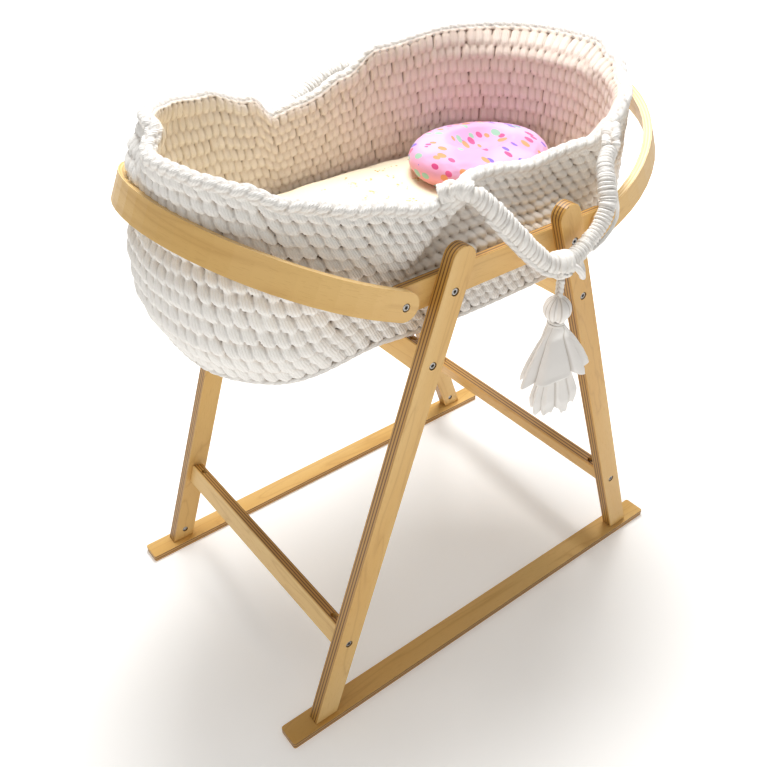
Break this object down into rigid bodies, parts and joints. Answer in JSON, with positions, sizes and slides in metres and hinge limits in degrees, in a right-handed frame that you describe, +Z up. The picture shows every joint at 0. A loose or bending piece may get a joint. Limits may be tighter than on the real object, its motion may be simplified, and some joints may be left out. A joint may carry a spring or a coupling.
{
  "type": "bassinet on stand",
  "caption": "Oval crocheted basket bed with mattress and pillow, resting in bentwood hoops on a plywood stand with leaning legs, with wrapped rope handles and a hanging tassel.",
  "frame": {"origin": "on the floor under the middle of the whole outline, handles and tassel included", "axes": "+Z up, +X along the base rails towards the head end, -Y the near side with the tassel"},
  "size_m": [0.8103, 0.5683, 0.8733],
  "materials": {
    "birch_plywood": "oiled, satin",
    "base_board": "raw, matte",
    "zinc_steel": "zinc plated, satin",
    "basket_yarn": "crocheted cotton yarn, matte",
    "handle_yarn": "wrapped cotton yarn, matte",
    "tassel_yarn": "wrapped cotton yarn, matte",
    "tassel_cloth": "soft white cloth, matte",
    "mattress_cotton": "printed cotton, matte",
    "pillow_cotton": "printed cotton, matte"
  },
  "bodies": {
    "stand": {"base_rail_near": "birch_plywood", "base_rail_far": "birch_plywood", "leg_foot_near": "birch_plywood", "leg_foot_far": "birch_plywood", "leg_head_near": "birch_plywood", "leg_head_far": "birch_plywood", "lower_bar_foot": "birch_plywood", "lower_bar_head": "birch_plywood", "bed_bar_foot": "birch_plywood", "bed_bar_head": "birch_plywood", "side_plate_near": "birch_plywood", "side_plate_far": "birch_plywood", "bed_bar_bolt_foot_far": "zinc_steel", "bed_bar_bolt_foot_near": "zinc_steel", "bed_bar_bolt_head_far": "zinc_steel", "bed_bar_bolt_head_near": "zinc_steel", "hoop_foot_bolt_far": "zinc_steel", "hoop_foot_bolt_near": "zinc_steel", "hoop_head_bolt_far": "zinc_steel", "hoop_head_bolt_near": "zinc_steel", "lower_bar_bolt_foot_far": "zinc_steel", "lower_bar_bolt_foot_near": "zinc_steel", "lower_bar_bolt_head_far": "zinc_steel", "lower_bar_bolt_head_near": "zinc_steel", "plate_bolt_foot_far": "zinc_steel", "plate_bolt_foot_near": "zinc_steel", "plate_bolt_head_far": "zinc_steel", "plate_bolt_head_near": "zinc_steel", "rail_bolt_foot_far": "zinc_steel", "rail_bolt_foot_near": "zinc_steel", "rail_bolt_head_far": "zinc_steel", "rail_bolt_head_near": "zinc_steel", "bed_bar_nut_foot_far": "zinc_steel", "bed_bar_nut_foot_near": "zinc_steel", "bed_bar_nut_head_far": "zinc_steel", "bed_bar_nut_head_near": "zinc_steel", "lower_bar_nut_foot_far": "zinc_steel", "lower_bar_nut_foot_near": "zinc_steel", "lower_bar_nut_head_far": "zinc_steel", "lower_bar_nut_head_near": "zinc_steel", "rail_nut_foot_far": "zinc_steel", "rail_nut_foot_near": "zinc_steel", "rail_nut_head_far": "zinc_steel", "rail_nut_head_near": "zinc_steel"},
    "hoop_foot": {"hoop_foot": "birch_plywood"},
    "hoop_head": {"hoop_head": "birch_plywood"},
    "basket": {"basket_shell": "basket_yarn", "base_board": "base_board"},
    "mattress": {"mattress": "mattress_cotton"},
    "pillow": {"pillow": "pillow_cotton"},
    "handle_near": {"handle_near": "handle_yarn"},
    "tassel": {"tassel_neck": "tassel_yarn", "tassel_head": "tassel_yarn", "tassel_skirt_upper": "tassel_cloth", "tassel_skirt_lower": "tassel_cloth"},
    "handle_far": {"handle_far": "handle_yarn"}
  },
  "joints": [
    {"name": "hoop_foot_fold", "type": "hinge", "parent": "stand", "child": "hoop_foot", "pos_m": [-0.1795, 0.02, 0.678], "axis": [0, -1, 0], "range_deg": [0, 96]},
    {"name": "hoop_head_fold", "type": "hinge", "parent": "stand", "child": "hoop_head", "pos_m": [0.1695, 0.02, 0.678], "axis": [0, 1, 0], "range_deg": [0, 96]},
    {"name": "basket_lift", "type": "slide", "parent": "stand", "child": "basket", "axis": [0, 0, 1], "range_m": [0, 0.3]},
    {"name": "mattress_lift", "type": "slide", "parent": "basket", "child": "mattress", "axis": [0, 0, 1], "range_m": [0, 0.25]},
    {"name": "pillow_lift", "type": "slide", "parent": "mattress", "child": "pillow", "axis": [0, 0, 1], "range_m": [0, 0.2]},
    {"name": "handle_near_swing", "type": "hinge", "parent": "basket", "child": "handle_near", "pos_m": [-0.071, -0.2065, 0.79], "axis": [-0.9961, -0.0562, 0.0674], "range_deg": [0, 100]},
    {"name": "tassel_swing", "type": "hinge", "parent": "handle_near", "child": "tassel", "pos_m": [0.047, -0.257, 0.652], "axis": [-0.9961, -0.0562, 0.0674], "range_deg": [-100, 0]},
    {"name": "handle_far_swing", "type": "hinge", "parent": "basket", "child": "handle_far", "pos_m": [-0.065, 0.2475, 0.757], "axis": [0.9969, -0.0614, 0.0498], "range_deg": [-50, 20]}
  ],
  "couplings": [
    {"joint": "tassel_swing", "follows": "handle_near_swing", "ratio": -1}
  ]
}
